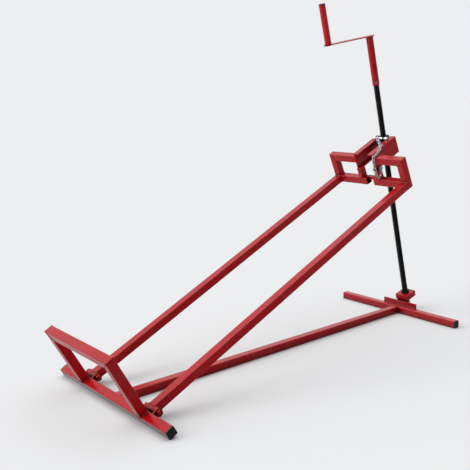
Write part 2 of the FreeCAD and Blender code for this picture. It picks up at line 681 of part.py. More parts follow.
nut_slot = new_sketch(nut, "slot", "YZ_Plane")
add_rectangle(nut_slot, "40", "40", "-dims.nut_slot_back - 40", "-dims.nut_slot_floor")
pocket(nut, nut_slot, "dims.nut_slot", midplane=True)
bore_through(nut, "dims.pin_diameter + 2 * dims.running_clearance", "pin_bore", "YZ_Plane",
             "-dims.spindle_offset")
bore_through(nut, "dims.spindle_diameter + 4 * dims.running_clearance", "spindle_bore")

block = new_body("swivel_block", placed(AXIS, X_AXIS, SPINDLE_UP))
block_plan = new_sketch(block, "plan", offset="dims.block_bottom")
add_rectangle(block_plan, "dims.block_width", "dims.block_front + dims.block_back",
              "-dims.block_width / 2", "-dims.block_front")
pad(block, block_plan, "dims.block_height")
knuckle_neck = new_sketch(block, "neck", "YZ_Plane")
add_rectangle(knuckle_neck, "2 * dims.knuckle_radius", "dims.block_bottom + 1",
              "-dims.spindle_offset - dims.knuckle_radius", "0")
pad(block, knuckle_neck, "dims.knuckle_width", midplane=True)
knuckle = new_sketch(block, "knuckle", "YZ_Plane")
add_circle(knuckle, "2 * dims.knuckle_radius", "-dims.spindle_offset")
pad(block, knuckle, "dims.knuckle_width", midplane=True)
bore_through(block, "dims.swivel_pin + 2 * dims.running_clearance", "pin_bore", "YZ_Plane",
             "-dims.spindle_offset")
bore_through(block, "dims.journal_diameter + 2 * dims.running_clearance", "bearing_bore",
             offset="dims.block_bottom", depth="dims.block_height")
bore_through(block, "dims.counterbore", "counterbore", offset="dims.block_bottom",
             depth="dims.counterbore_depth")


def on_spindle(turned=False):
    """Placement on the spindle axis at the level of the lower pivot."""
    return placed(AXIS, CRANK_SIDE if turned else X_AXIS, SPINDLE_UP)


collar_base = "(dims.block_bottom + dims.block_height + dims.collar_gap)"
round_bar("spindle_rod", on_spindle(), [
    ("dims.journal_diameter", "dims.block_bottom + 1", collar_base),
    ("dims.spindle_diameter", collar_base, "dims.thread_top")])
collar = round_bar("thrust_collar", on_spindle(), [
    ("dims.collar_diameter", collar_base, collar_base + " + dims.collar_height")])
bore_through(collar, "dims.spindle_diameter", "seat", offset="20", depth="dims.tube_size")
ring_top = "(dims.block_bottom + dims.counterbore_depth - dims.collar_gap)"
ring = round_bar("retaining_ring", on_spindle(), [
    ("dims.ring_diameter", ring_top + " - dims.ring_thickness", ring_top)])
bore_through(ring, "dims.journal_diameter", "seat", offset="0", depth="dims.tube_size")

sleeve = round_bar("crank_sleeve", on_spindle(True), [
    ("dims.crank_sleeve", "dims.sleeve_bottom", "dims.crank_height")])
bore_through(sleeve, "dims.spindle_diameter", "seat", offset="dims.sleeve_bottom",
             depth="dims.crank_height - dims.sleeve_bottom")
bolt_height = "(dims.sleeve_bottom + 9)"
bore_through(sleeve, "dims.crank_bolt", "bolt_hole", "YZ_Plane", "0", bolt_height)
rod = doc.getObject("spindle_rod")
rod_hole = new_sketch(rod, "bolt_hole", "YZ_Plane")
add_circle(rod_hole, "dims.crank_bolt", "0", bolt_height)
rod.Placement = on_spindle(True)
pocket(rod, rod_hole, THROUGH, midplane=True)
bolt_at = AXIS + SPINDLE_UP * (dim("sleeve_bottom") + 9)
round_bar("crank_bolt", placed(bolt_at, SPINDLE_UP, CRANK_SIDE), [
    ("dims.crank_bolt_head", "-dims.crank_sleeve / 2 - 3", "-dims.crank_sleeve / 2"),
    ("dims.crank_bolt", "-dims.crank_sleeve / 2", "dims.crank_sleeve / 2"),
    ("dims.crank_bolt_head", "dims.crank_sleeve / 2", "dims.crank_sleeve / 2 + 3")])

crank_top = AXIS + SPINDLE_UP * dim("crank_height")
handle_axis = crank_top + CRANK_OUT * dim("crank_radius")
crank = plate("crank_arm", placed(crank_top + CRANK_OUT * dim("crank_radius") / 2, CRANK_OUT, SPINDLE_UP),
              "dims.crank_radius + 2 * dims.crank_plate_end", "dims.crank_plate_width", "dims.crank_plate")
round_edges(crank, crank.Tip, "5", is_lengthwise)
bore_through(crank, "dims.grip_axle", "axle_hole", x="dims.crank_radius / 2")

axle_top = "(dims.crank_plate + dims.grip_length + 2 * dims.side_clearance)"
round_bar("handle_axle", placed(handle_axis, CRANK_OUT, SPINDLE_UP), [
    ("dims.axle_head", "-dims.axle_head_height", "0"),
    ("dims.grip_axle", "0", axle_top)])
grip_base = "(dims.crank_plate + dims.side_clearance)"
grip = round_bar("handle_grip", placed(handle_axis, CRANK_OUT, SPINDLE_UP), [
    ("dims.grip_diameter", grip_base, grip_base + " + dims.grip_length")])
bore_through(grip, "dims.grip_axle + 2 * dims.running_clearance", "axle_bore")
round_bar("handle_cap", placed(handle_axis, CRANK_OUT, SPINDLE_UP), [
    ("dims.grip_diameter", axle_top, axle_top + " + dims.cap_height")])

# ---------------------------------------------------------------------------------------------
# Safety chain: a ring on the cross pin, links over the right rail, a hanging loop, a screw
# ---------------------------------------------------------------------------------------------
WIRE = dim("chain_wire")
BEND = (dim("chain_width") - WIRE) / 2
STRAIGHT = dim("chain_pitch") + WIRE - 2 * BEND


def chain_link():
    """One welded oval link, long side along local X, built from two half rings and two rods."""
    pieces = []
    straight = "(dims.chain_pitch + dims.chain_wire - (dims.chain_width - dims.chain_wire))"
    bend = "(dims.chain_width - dims.chain_wire) / 2"
    for side, turn in ((1, -90), (-1, 90)):
        half = doc.addObject("Part::Torus", "link_end_%d" % len(pieces))
        half.setExpression("Radius1", bend)
        half.setExpression("Radius2", "dims.chain_wire / 2")
        half.setExpression("Angle3", "180")
        half.Placement = Placement(Vector(side * STRAIGHT / 2, 0, 0), Rotation(Z_AXIS, turn))
        pieces.append(half)
    for side in (-1, 1):
        rod_piece = doc.addObject("Part::Cylinder", "link_side_%d" % len(pieces))
        rod_piece.setExpression("Radius", "dims.chain_wire / 2")
        rod_piece.setExpression("Height", straight)
        rod_piece.Placement = Placement(Vector(-STRAIGHT / 2, side * BEND, 0), Rotation(Y_AXIS, 90))
        pieces.append(rod_piece)
    link = doc.addObject("Part::MultiFuse", "chain_link_one")
    link.Shapes = pieces
    doc.recompute()
    return link


def rounded_path(points, rounds=3):
    """Polyline with its corners cut repeatedly until it runs smoothly."""
    for _ in range(rounds):
        smooth = [points[0]]
        for a, b in zip(points, points[1:]):
            smooth += [a * 0.75 + b * 0.25, a * 0.25 + b * 0.75]
        points = smooth + [points[-1]]
    return points


def stations(points, count):
    """Points that divide a polyline into this many runs of equal length."""
    lengths = [(b - a).Length for a, b in zip(points, points[1:])]
    step = sum(lengths) / count
    found = [points[0]]
    travelled = 0.0
    for a, b, length in zip(points, points[1:], lengths):
        while travelled + length >= step * len(found) and len(found) < count:
            found.append(a + (b - a) * ((step * len(found) - travelled) / length))
        travelled += length
    return found + [points[-1]]


# Neighbouring links hook past each other by a wire and a little play, half of it each side of a joint.
chain_x = dim("rail_width") / 2 + dim("chain_clear")
hook = WIRE / 2 + 0.2
ring_slack = 0.3
ring_forward = dim("ring_radius") - WIRE / 2 - ring_slack - dim("pin_diameter") / 2
ring_centre = PIN - X_AXIS * dim("ring_place") - ARM_ALONG * ring_forward
ring_front = ring_centre - ARM_ALONG * dim("ring_radius")
first_heading = X_AXIS * 0.8 - ARM_ALONG * 0.6
chain_start = ring_front - first_heading * hook
route = [
    chain_start,
    chain_start + first_heading * 8,
    arm_point(6, 1190, 112.3),
    arm_point(14.5, 1181, 112.7),
    arm_point(24, 1170, 112.9),
    arm_point(35, 1158, 113),
    arm_point(43.5, 1149.5, 113.4),
    arm_point(47.6, 1141, 111.5),
    arm_point(47.6, 1130, 105.8),
    arm_point(46.6, 1120, 102.2),
    arm_point(46.5, 1109, 102.8),
    arm_point(46.8, 1099.5, 103.2),
    arm_point(47.6, 1094, 95),
    arm_point(48.5, 1091.5, 82),
    arm_point(49.5, 1089, 66),
    arm_point(chain_x, 1087.2, 49),
    arm_point(chain_x, 1087.6, 35),
    arm_point(chain_x, 1092, 25.5),
    arm_point(chain_x, 1099.5, 23.5),
    arm_point(chain_x, 1107, 28),
    arm_point(chain_x, 1112, 37),
    arm_point(chain_x, 1118.5, 53.5),
]
link = chain_link()
joints = stations(rounded_path(route), int(dim("chain_links")))
chain_placements = []
for i, (near, far) in enumerate(zip(joints, joints[1:])):
    side_on = Rotation((far - near).normalize(), X_AXIS, Vector(), "XYZ")
    quarter = Rotation(X_AXIS, 90 if i % 2 else 0)
    chain_placements.append(Placement((near + far) * 0.5, side_on.multiply(quarter)))
copies("chain", link, chain_placements)

chain_ring = doc.addObject("Part::Torus", "chain_ring")
chain_ring.Label = "chain_ring"
chain_ring.setExpression("Radius1", "dims.ring_radius")
chain_ring.setExpression("Radius2", "dims.chain_wire / 2")
chain_ring.Placement = placed(ring_centre, Y_AXIS, X_AXIS)
NODES.append(chain_ring)

# The screw stands out of the rail's side and passes through the far end of the last link.
last_heading = (joints[-1] - joints[-2]).normalize()
screw_level = joints[-1] - last_heading * (hook + (dim("chain_screw") - WIRE) / 2)
screw_foot = screw_level - X_AXIS * dim("chain_clear")
round_bar("chain_screw", placed(screw_foot, ARM_UP, X_AXIS), [
    ("dims.chain_screw", "0", "dims.chain_clear + dims.chain_wire"),
    ("2 * dims.chain_screw + 1", "dims.chain_clear + dims.chain_wire",
     "dims.chain_clear + 2 * dims.chain_wire")])

# ---------------------------------------------------------------------------------------------
# Check and write
# ---------------------------------------------------------------------------------------------
doc.recompute()
faults = []
for thing in doc.Objects:
    if "Invalid" in thing.State or "Error" in thing.State:
        faults.append("%s is %s" % (thing.Label, thing.State))
for node in NODES:
    if node.Shape.isNull() or not node.Shape.isValid():
        faults.append(node.Label + " has no valid shape")
if faults:
    raise RuntimeError("; ".join(faults))

os.makedirs("parts", exist_ok=True)
for node in NODES:
    node.Shape.exportStep("parts/%s.step" % node.Label)
whole = Part.makeCompound([node.Shape for node in NODES]).BoundBox
print("nodes", len(NODES), "box", whole)
print("hinge", HINGE, "swivel", SWIVEL, "pin", PIN)
print("axis", AXIS, "spindle up", SPINDLE_UP, "handle", handle_axis)
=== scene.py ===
import json
import math
import random

import bpy
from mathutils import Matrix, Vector


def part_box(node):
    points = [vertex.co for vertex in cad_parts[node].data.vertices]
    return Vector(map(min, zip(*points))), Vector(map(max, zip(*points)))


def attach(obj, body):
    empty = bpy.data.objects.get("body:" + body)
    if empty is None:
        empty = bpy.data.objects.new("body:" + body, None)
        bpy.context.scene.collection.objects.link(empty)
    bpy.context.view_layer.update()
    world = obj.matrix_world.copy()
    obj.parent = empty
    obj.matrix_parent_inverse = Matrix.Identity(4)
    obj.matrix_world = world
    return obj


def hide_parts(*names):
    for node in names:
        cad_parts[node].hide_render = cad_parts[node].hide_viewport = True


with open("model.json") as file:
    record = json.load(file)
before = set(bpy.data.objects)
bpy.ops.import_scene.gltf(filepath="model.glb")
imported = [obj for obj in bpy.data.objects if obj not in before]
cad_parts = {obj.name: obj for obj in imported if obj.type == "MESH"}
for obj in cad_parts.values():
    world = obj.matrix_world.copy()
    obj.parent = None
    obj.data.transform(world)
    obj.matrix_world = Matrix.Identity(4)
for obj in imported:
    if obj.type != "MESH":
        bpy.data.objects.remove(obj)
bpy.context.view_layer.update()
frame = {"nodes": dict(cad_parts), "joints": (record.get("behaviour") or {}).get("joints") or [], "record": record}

# ------------------------------------------------------------------------------------------------
# Layout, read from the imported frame. Vectors are in metres, plain sizes in millimetres.
# "left" is the -X side.
# ------------------------------------------------------------------------------------------------
MM = 0.001
JOINTS = {joint["name"]: joint for joint in frame["joints"]}
HINGE = Vector(JOINTS["frame_lift"]["pos_m"])
PIN = Vector(JOINTS["nut_swivel"]["pos_m"])
AXIS = Vector(JOINTS["spindle_turn"]["pos_m"])
SPINDLE_UP = Vector(JOINTS["spindle_turn"]["axis"]).normalized()
HANDLE = Vector(JOINTS["handle_spin"]["pos_m"])
X_AXIS = Vector((1, 0, 0))
Y_AXIS = Vector((0, 1, 0))

HALF = 12.5  # half of the 25 mm square tube
FRAME_HALF = 155.0  # half of the arms' and the toe frame's width
PIN_REACH = 1210.0  # hinge axis to the cross pin, along the arms
PIN_RISE = 111.5  # cross pin above the arms' centreline
TOE_ANGLE = math.radians(29.4)
TOE_TOP = 196.5  # foot bar centre to the top of the toe frame
HOOP_FRONT = 1103.0  # hinge axis to the front face of the load hoops
HOOP_TOP = 96.0  # top of the load hoops above the arms' centreline
RAIL_BOTTOM = 48.0  # lower edge of the side rails above the arms' centreline

to_pin = PIN - HINGE
ARM_ANGLE = math.atan2(to_pin.z, to_pin.y) - math.atan2(PIN_RISE, PIN_REACH)
ARM_ALONG = Vector((0, math.cos(ARM_ANGLE), math.sin(ARM_ANGLE)))
ARM_UP = Vector((0, -math.sin(ARM_ANGLE), math.cos(ARM_ANGLE)))
TOE_NORMAL = Vector((0, math.cos(TOE_ANGLE), math.sin(TOE_ANGLE)))
TOE_UP = Vector((0, -math.sin(TOE_ANGLE), math.cos(TOE_ANGLE)))
SPINDLE_BACK = Vector((0, SPINDLE_UP.z, -SPINDLE_UP.y))
foot_low, foot_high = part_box("foot_bar")
FOOT = (foot_low + foot_high) / 2


def arm_point(x, reach, height):
    """Point in the lifting frame's own coordinates, from the hinge axis, in millimetres."""
    return HINGE + X_AXIS * x * MM + ARM_ALONG * reach * MM + ARM_UP * height * MM


def toe_point(x, height, depth):
    """Point in the toe frame's own coordinates, from the foot bar's centre, in millimetres."""
    return FOOT + X_AXIS * x * MM + TOE_UP * height * MM + TOE_NORMAL * depth * MM


def spindle_point(radius, angle, height):
    """Point round the spindle's axis, above the level of its lower pivot, in millimetres."""
    outwards = X_AXIS * math.cos(angle) + SPINDLE_BACK * math.sin(angle)
    return AXIS + SPINDLE_UP * height * MM + outwards * radius * MM


# ------------------------------------------------------------------------------------------------
# Materials
# ------------------------------------------------------------------------------------------------
class Look:
    """A node material with small helpers for procedural detail in object coordinates."""

    def __init__(self, name):
        self.material = bpy.data.materials.new(name)
        self.material.use_nodes = True
        self.nodes = self.material.node_tree.nodes
        self.links = self.material.node_tree.links
        self.shader = self.nodes["Principled BSDF"]
        self.coords = self.nodes.new("ShaderNodeTexCoord").outputs["Object"]

    def join(self, output, socket):
        self.links.new(output, socket)

    def drive(self, output, name):
        """Feed one of the shader's own sockets."""
        self.join(output, self.shader.inputs[name])

    def noise(self, scale, detail, rough=0.55):
        node = self.nodes.new("ShaderNodeTexNoise")
        node.inputs["Scale"].default_value = scale
        node.inputs["Detail"].default_value = detail
        node.inputs["Roughness"].default_value = rough
        self.join(self.coords, node.inputs["Vector"])
        return node.outputs["Fac"]

    def cell_colours(self, scale):
        node = self.nodes.new("ShaderNodeTexVoronoi")
        node.inputs["Scale"].default_value = scale
        self.join(self.coords, node.inputs["Vector"])
        return node.outputs["Color"]

    def drift(self, value, dark, light):
        """Colour that goes slowly from dark to light as the value crosses its middle range."""
        node = self.nodes.new("ShaderNodeValToRGB")
        for element, place, colour in zip(node.color_ramp.elements, (0.3, 0.7), (dark, light)):
            element.position = place
            element.color = (*colour, 1.0)
        self.join(value, node.inputs["Fac"])
        return node.outputs["Color"]

    def range(self, value, low, high, from_low=0.3, from_high=0.7):
        node = self.nodes.new("ShaderNodeMapRange")
        node.inputs["From Min"].default_value = from_low
        node.inputs["From Max"].default_value = from_high
        node.inputs["To Min"].default_value = low
        node.inputs["To Max"].default_value = high
        self.join(value, node.inputs["Value"])
        return node.outputs["Result"]

    def maths(self, operation, a, b):
        node = self.nodes.new("ShaderNodeMath")
        node.operation = operation
        for socket, value in zip(node.inputs, (a, b)):
            if isinstance(value, float):
                socket.default_value = value
            else:
                self.join(value, socket)
        return node.outputs["Value"]

    def mix(self, factor, a, b, blend="MIX"):
        """Colour mix of two colours or outputs, by a number or an output."""
        node = self.nodes.new("ShaderNodeMixRGB")
        node.blend_type = blend
        for socket, value in zip(node.inputs, (factor, a, b)):
            if isinstance(value, float):
                socket.default_value = value
            elif isinstance(value, tuple):
                socket.default_value = (*value, 1.0)
            else:
                self.join(value, socket)
        return node.outputs["Color"]

    def bump(self, height, distance, strength, under=None):
        node = self.nodes.new("ShaderNodeBump")
        node.inputs["Distance"].default_value = distance
        node.inputs["Strength"].default_value = strength
        self.join(height, node.inputs["Height"])
        if under:
            self.join(under, node.inputs["Normal"])
        return node.outputs["Normal"]

    def painted_shade_mask(self, reach):
        """Mask for painted shade: 1 on open surfaces, falling to 0 deep in corners and channels within this reach.
        """
        node = self.nodes.new("ShaderNodeAmbientOcclusion")
        node.samples = 8
        node.inputs["Distance"].default_value = reach
        return self.range(node.outputs["AO"], 0.0, 1.0, 0.30, 0.80)

    def soft_edge(self, radius):
        """Normal that rounds every sharp edge off by this radius."""
        node = self.nodes.new("ShaderNodeBevel")
        node.samples = 4
        node.inputs["Radius"].default_value = radius
        return node.outputs["Normal"]


DUST_COLOUR = (0.30, 0.20, 0.18)
PRIMER_COLOUR = (0.045, 0.012, 0.012)


def powder_coat(name, base, dark, dust, rough):
    """Glossy red powder coat: slow drift, dust, chips down to primer, painted shade in recesses, orange peel."""
    look = Look(name)
    colour = look.drift(look.noise(7.0, 3.0), dark, base)
    dirt = look.range(look.noise(34.0, 6.0, 0.65), 0.0, dust, 0.5, 0.75)
    colour = look.mix(dirt, colour, DUST_COLOUR)

    speck = look.range(look.noise(420.0, 2.0, 0.5), 0.0, 1.0, 0.66, 0.70)
    patch = look.range(look.noise(15.0, 3.0, 0.6), 0.0, 0.8, 0.62, 0.68)
    chips = look.maths("MULTIPLY", speck, patch)
    colour = look.mix(chips, colour, PRIMER_COLOUR)

    # Painted shade: the colour darkens to a near-black red in corners, channels and recesses, where little light
    # reaches.
    painted_shade_colour = (dark[0] * 0.10, dark[1] * 0.5, dark[2] * 0.5)
    look.drive(look.mix(look.painted_shade_mask(0.05), painted_shade_colour, colour), "Base Color")

    gloss = look.range(look.noise(18.0, 5.0, 0.6), rough - 0.06, rough + 0.12)
    look.drive(look.maths("ADD", gloss, look.maths("MULTIPLY", chips, 0.3)), "Roughness")
    peel = look.bump(look.noise(900.0, 2.0, 0.5), 0.00006, 0.35, under=look.soft_edge(0.0007))
    look.drive(look.bump(look.noise(120.0, 3.0, 0.5), 0.0003, 0.12, under=peel), "Normal")
    look.shader.inputs["Specular IOR Level"].default_value = 0.45
    look.shader.inputs["IOR"].default_value = 1.5
    return look.material


def black_oxide(name):
    """Black steel, oiled: brown-black drift, bright rubbed spots and a fine grain."""
    look = Look(name)
    colour = look.drift(look.noise(22.0, 5.0, 0.6), (0.006, 0.006, 0.007), (0.022, 0.020, 0.019))
    rubbed = look.range(look.noise(160.0, 4.0, 0.7), 0.0, 0.35, 0.62, 0.75)
    look.drive(look.mix(rubbed, colour, (0.10, 0.095, 0.09)), "Base Color")
    look.shader.inputs["Metallic"].default_value = 0.55
    look.drive(look.range(look.noise(60.0, 5.0, 0.6), 0.28, 0.52), "Roughness")
    look.drive(look.bump(look.noise(700.0, 3.0, 0.6), 0.00008, 0.4), "Normal")
    return look.material


def zinc_plate(name):
    """Bright zinc: soft spangle over a slow drift of tint and gloss."""
    look = Look(name)
    tint = look.drift(look.noise(70.0, 4.0, 0.6), (0.66, 0.65, 0.69), (0.80, 0.78, 0.80))
    look.drive(look.mix(0.12, tint, look.cell_colours(260.0), "OVERLAY"), "Base Color")
    look.shader.inputs["Metallic"].default_value = 0.9
    look.drive(look.range(look.noise(140.0, 5.0, 0.6), 0.22, 0.42), "Roughness")
    look.drive(look.bump(look.noise(600.0, 3.0, 0.6), 0.00006, 0.4), "Normal")
    return look.material


def black_plastic(name):
    """Moulded black polythene: fine grain and a grey bloom."""
    look = Look(name)
    bloom = look.range(look.noise(45.0, 5.0, 0.65), 0.0, 0.25, 0.45, 0.75)
    look.drive(look.mix(bloom, (0.012, 0.012, 0.013), (0.055, 0.055, 0.058)), "Base Color")
    look.drive(look.range(look.noise(90.0, 4.0, 0.6), 0.42, 0.62), "Roughness")
    look.drive(look.bump(look.noise(1400.0, 2.0, 0.5), 0.00012, 0.4), "Normal")
    return look.material


RED = powder_coat("red_powder_coat", (0.42, 0.002, 0.006), (0.34, 0.0015, 0.004), dust=0.06, rough=0.19)
WELD = powder_coat("red_weld", (0.36, 0.002, 0.006), (0.26, 0.0015, 0.004), dust=0.10, rough=0.28)
# Painted highlight: the grip has the frame's red paint, given a lighter base colour for the light it catches.
LIT_GRIP = powder_coat("red_grip_painted_highlight", (0.50, 0.003, 0.006), (0.42, 0.002, 0.005), dust=0.06, rough=0.26)
BLACK = black_oxide("black_steel")
LOOKS = {
    "red_paint": RED,
    "black_steel": BLACK,
    "zinc": zinc_plate("zinc_plate"),
    "black_plastic": black_plastic("black_plastic"),
}


def dress_nodes():
    """Give every CAD node the look of its material slot; the turning grip gets a lighter copy of the frame's red,
    a painted highlight.
    """
    slot_of = {entry["node"]: entry["material_slot"] for entry in frame["record"]["subparts"]}
    for name, node in frame["nodes"].items():
        node.data.materials.clear()
        node.data.materials.append(LIT_GRIP if name == "handle_grip" else LOOKS[slot_of[name]])


dress_nodes()


# ------------------------------------------------------------------------------------------------
# Mesh builders
# ------------------------------------------------------------------------------------------------
def add_mesh(name, vertices, faces, material, body, smooth):
    mesh = bpy.data.meshes.new(name)
    mesh.from_pydata([tuple(v) for v in vertices], [], faces)
    mesh.materials.append(material)
    mesh.validate()
    piece = bpy.data.objects.new(name, mesh)
    bpy.context.scene.collection.objects.link(piece)
    if smooth:
        for polygon in mesh.polygons:
            polygon.use_smooth = True
    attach(piece, body)
    return piece


def tube_faces(rings, sides, closed):
    """Quads between rings of vertices: joined end to start, or with a lid on either end."""
    faces = []
    for i in range(rings if closed else rings - 1):
        near = i * sides
        far = (i + 1) % rings * sides
        for k in range(sides):
            after = (k + 1) % sides
            faces.append((near + k, near + after, far + after, far + k))
    if not closed:
        faces.append(tuple(reversed(range(sides))))
        faces.append(tuple((rings - 1) * sides + k for k in range(sides)))
    return faces


def resample(points, step, closed):
    """Evenly spaced points along a polyline."""
    corners = list(points) + ([points[0]] if closed else [])
    spots = []
    travelled = 0.0
    target = 0.0
    for a, b in zip(corners, corners[1:]):
        length = (b - a).length
        while travelled + length > target:
            spots.append(a + (b - a) * ((target - travelled) / length))
            target += step
        travelled += length
    if not closed:
        spots.append(corners[-1])
    return spots


BEAD_STEP = 0.55 * MM  # between the rings of vertices
BEAD_SIDES = 8
RIPPLE_LENGTH = 1.9 * MM  # from one weld ripple to the next
SWELL_LENGTH = 13 * MM  # slower change of thickness
TAPER_LENGTH = 1.6 * MM  # at an open end


def bead(name, points, body, radius=1.7, closed=False, seed=1):
    """A weld bead: a rope along the seam whose thickness ripples, tapering off at open ends."""
    rng = random.Random(seed)
    path = resample(points, BEAD_STEP, closed)
    count = len(path)
    phase = rng.random() * 6
    vertices = []
    for i, spot in enumerate(path):
        ahead = path[(i + 1) % count] if closed else path[min(i + 1, count - 1)]
        behind = path[(i - 1) % count] if closed else path[max(i - 1, 0)]
        heading = (ahead - behind).normalized()
        side = heading.cross(X_AXIS if abs(heading.x) < 0.9 else Y_AXIS).normalized()
        other = heading.cross(side)
        turns = i * BEAD_STEP * 2 * math.pi
        ripple = 1 + 0.13 * math.sin(turns / RIPPLE_LENGTH + phase) + rng.uniform(-0.04, 0.04)
        swell = 1 + 0.10 * math.sin(turns / SWELL_LENGTH + phase * 2)
        size = radius * MM * ripple * swell
        if not closed:
            from_end = min(i, count - 1 - i) * BEAD_STEP
            size *= min(1.0, 0.35 + from_end / TAPER_LENGTH)
        for k in range(BEAD_SIDES):
            angle = 2 * math.pi * k / BEAD_SIDES
            vertices.append(spot + side * math.cos(angle) * size + other * math.sin(angle) * size)
    add_mesh(name, vertices, tube_faces(count, BEAD_SIDES, closed), WELD, body, smooth=True)


def around(origin, side_a, half_a, side_b, half_b, corner=2.2):
    """Closed path round a rectangle with cut corners; halves and corner in millimetres."""
    path = []
    for sa, sb, swap in ((1, 1, False), (-1, 1, True), (-1, -1, False), (1, -1, True)):
        near = [(sa * half_a, sb * (half_b - corner)), (sa * (half_a - corner), sb * half_b)]
        if swap:
            near.reverse()
        path += [origin + side_a * p * MM + side_b * q * MM for p, q in near]
    return path


# ------------------------------------------------------------------------------------------------
# Weld beads
# ------------------------------------------------------------------------------------------------
INSET = HALF - 0.1  # a bead's centre lies just under the tube's face
ARM_X = FRAME_HALF - HALF
HOOP_MID = HOOP_FRONT + HALF
HOOP_BACK = HOOP_MID + INSET
MITRE_OUT = FRAME_HALF - 1
MITRE_IN = FRAME_HALF - 2 * HALF
EAR_PLACES = (127.0, 168.0)
EAR_HALF = 2.5  # half of a hinge ear's thickness
INNER_POST_X = 36.0
SLEEVE_RADIUS = 11.1
RAIL_FACE = 40.2  # just outside the side rails
TIE_HALF = 15.0  # half of the lower tie bar's length
TIE_FRONT = 1117.0
LUG_FACES = (15.5, 21.5)  # either side of a swivel lug
LUG_LOW, LUG_HIGH = 18.0, 38.0  # above the floor
BRACKET_HALF = 69.0  # half of the seam between rear bar and bracket plate
BRACKET_SEAM = 25.2  # above the floor


def toe_frame_welds(name, side):
    foot_seam = around(toe_point(side * ARM_X, HALF, 0), X_AXIS, HALF, TOE_NORMAL, 12.3)
    bead("weld_toe_" + name, foot_seam, "base", closed=True, seed=3 + side)
    top, corner = TOE_TOP - 1, TOE_TOP - 2 * HALF
    bead("weld_toe_mitre_" + name,
         [toe_point(side * MITRE_OUT, top, -INSET), toe_point(side * MITRE_IN, corner, -INSET),
          toe_point(side * MITRE_IN, corner, INSET), toe_point(side * MITRE_OUT, top, INSET)],
         "base", radius=1.1, closed=True, seed=8 + side)


def hoop_welds(name, side):
    arm_seam = around(arm_point(side * ARM_X, HOOP_FRONT, 0), X_AXIS, INSET, ARM_UP, INSET)
    bead("weld_arm_hoop_" + name, arm_seam, "lift_frame", closed=True, seed=13 + side)
    front = HOOP_FRONT + 0.1
    for level, outer, inner in (("low", 1 - HALF, HALF), ("high", HOOP_TOP - 1, HOOP_TOP - 2 * HALF)):
        bead("weld_hoop_%s_%s" % (level, name),
             [arm_point(side * MITRE_OUT, front, outer), arm_point(side * MITRE_IN, front, inner),
              arm_point(side * MITRE_IN, HOOP_BACK, inner), arm_point(side * MITRE_OUT, HOOP_BACK, outer)],
             "lift_frame", radius=1.1, closed=True, seed=17 + side)
    for level, height in (("low", HALF), ("high", RAIL_BOTTOM)):
        foot = arm_point(side * INNER_POST_X, HOOP_MID, height)
        bead("weld_post_%s_%s" % (level, name), around(foot, X_AXIS, 7, ARM_ALONG, INSET, corner=0.6),
             "lift_frame", radius=1.3, closed=True, seed=23 + side)
    rail_joint = arm_point(side * RAIL_FACE, HOOP_MID, HOOP_TOP - HALF)
    bead("weld_rail_" + name, around(rail_joint, ARM_ALONG, INSET, ARM_UP, INSET),
         "lift_frame", radius=1.4, closed=True, seed=29 + side)
    bead("weld_tie_" + name,
         [arm_point(side * TIE_HALF, reach, HALF + 0.1) for reach in (TIE_FRONT, HOOP_BACK)],
         "lift_frame", radius=1.3, seed=31 + side)


def hinge_welds(name, side):
    arc = [math.radians(a) for a in range(66, -67, -6)]
    rim = [(SLEEVE_RADIUS * math.cos(a), SLEEVE_RADIUS * math.sin(a)) for a in arc]
    inner = [arm_point(side * (MITRE_IN + 0.3), reach, height) for reach, height in rim]
    outer = [arm_point(side * FRAME_HALF, reach, height) for reach, height in reversed(rim)]
    bead("weld_sleeve_" + name, inner + outer, "lift_frame", radius=1.5, closed=True, seed=37 + side)
    for place in EAR_PLACES:
        for face in (-EAR_HALF, EAR_HALF):
            x = side * place + face
            bead("weld_ear_%s_%d_%d" % (name, place, face > 0),
                 [toe_point(x, -11.0, HALF + 0.1), toe_point(x, 6.0, HALF + 0.1)],
                 "base", radius=1.4, seed=41 + side)


def swivel_lug_welds(name, side, plate_back):
    """Two upright beads beside each lug, on the back of the bracket plate."""
    for i, x in enumerate(LUG_FACES):
        bead("weld_lug_%s_%d" % (name, i),
             [Vector((side * x * MM, plate_back + 0.2 * MM, z * MM)) for z in (LUG_LOW, LUG_HIGH)],
             "base", radius=1.4, seed=47 + side)


def spine_weld(name, seam, foot_height, seed):
    """Bead up, over and down the base tube's end; seam(x, z) is the face that the tube meets."""
    wide, narrow = 12.4 * MM, 10.3 * MM
    shoulder, crest = 22.8 * MM, 24.9 * MM
    outline = [(-wide, foot_height), (-wide, shoulder), (-narrow, crest),
               (narrow, crest), (wide, shoulder), (wide, foot_height)]
    bead(name, [seam(x, z) for x, z in outline], "base", seed=seed)


for name, side in (("left", -1), ("right", 1)):
    toe_frame_welds(name, side)
    hoop_welds(name, side)
    hinge_welds(name, side)
    swivel_lug_welds(name, side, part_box("swivel_bracket")[1].y)

rear_low, rear_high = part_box("rear_bar")
HEEL = toe_point(0, -HALF, HALF)


def rear_face(x, z):
    """Point on the front face of the rear bar."""
    return Vector((x, rear_low.y, z))


def foot_face(x, z):
    """Point on the leaning rear face of the foot bar, at this height."""
    rise = (z - HEEL.z) / TOE_UP.z
    return Vector((x, HEEL.y + TOE_UP.y * rise, z))


spine_weld("weld_base_rear", rear_face, 3 * MM, seed=53)
spine_weld("weld_base_foot", foot_face, 13.5 * MM, seed=59)
bead("weld_bracket",
     [Vector((x * MM, rear_high.y + 0.2 * MM, BRACKET_SEAM * MM)) for x in (-BRACKET_HALF, BRACKET_HALF)],
     "base", radius=1.8, seed=61)

CRANK_TOP = (HANDLE - AXIS).dot(SPINDLE_UP) / MM
bead("weld_crank", [spindle_point(11.9, 2 * math.pi * k / 40, CRANK_TOP - 0.6) for k in range(40)],
     "spindle", radius=1.3, closed=True, seed=67)

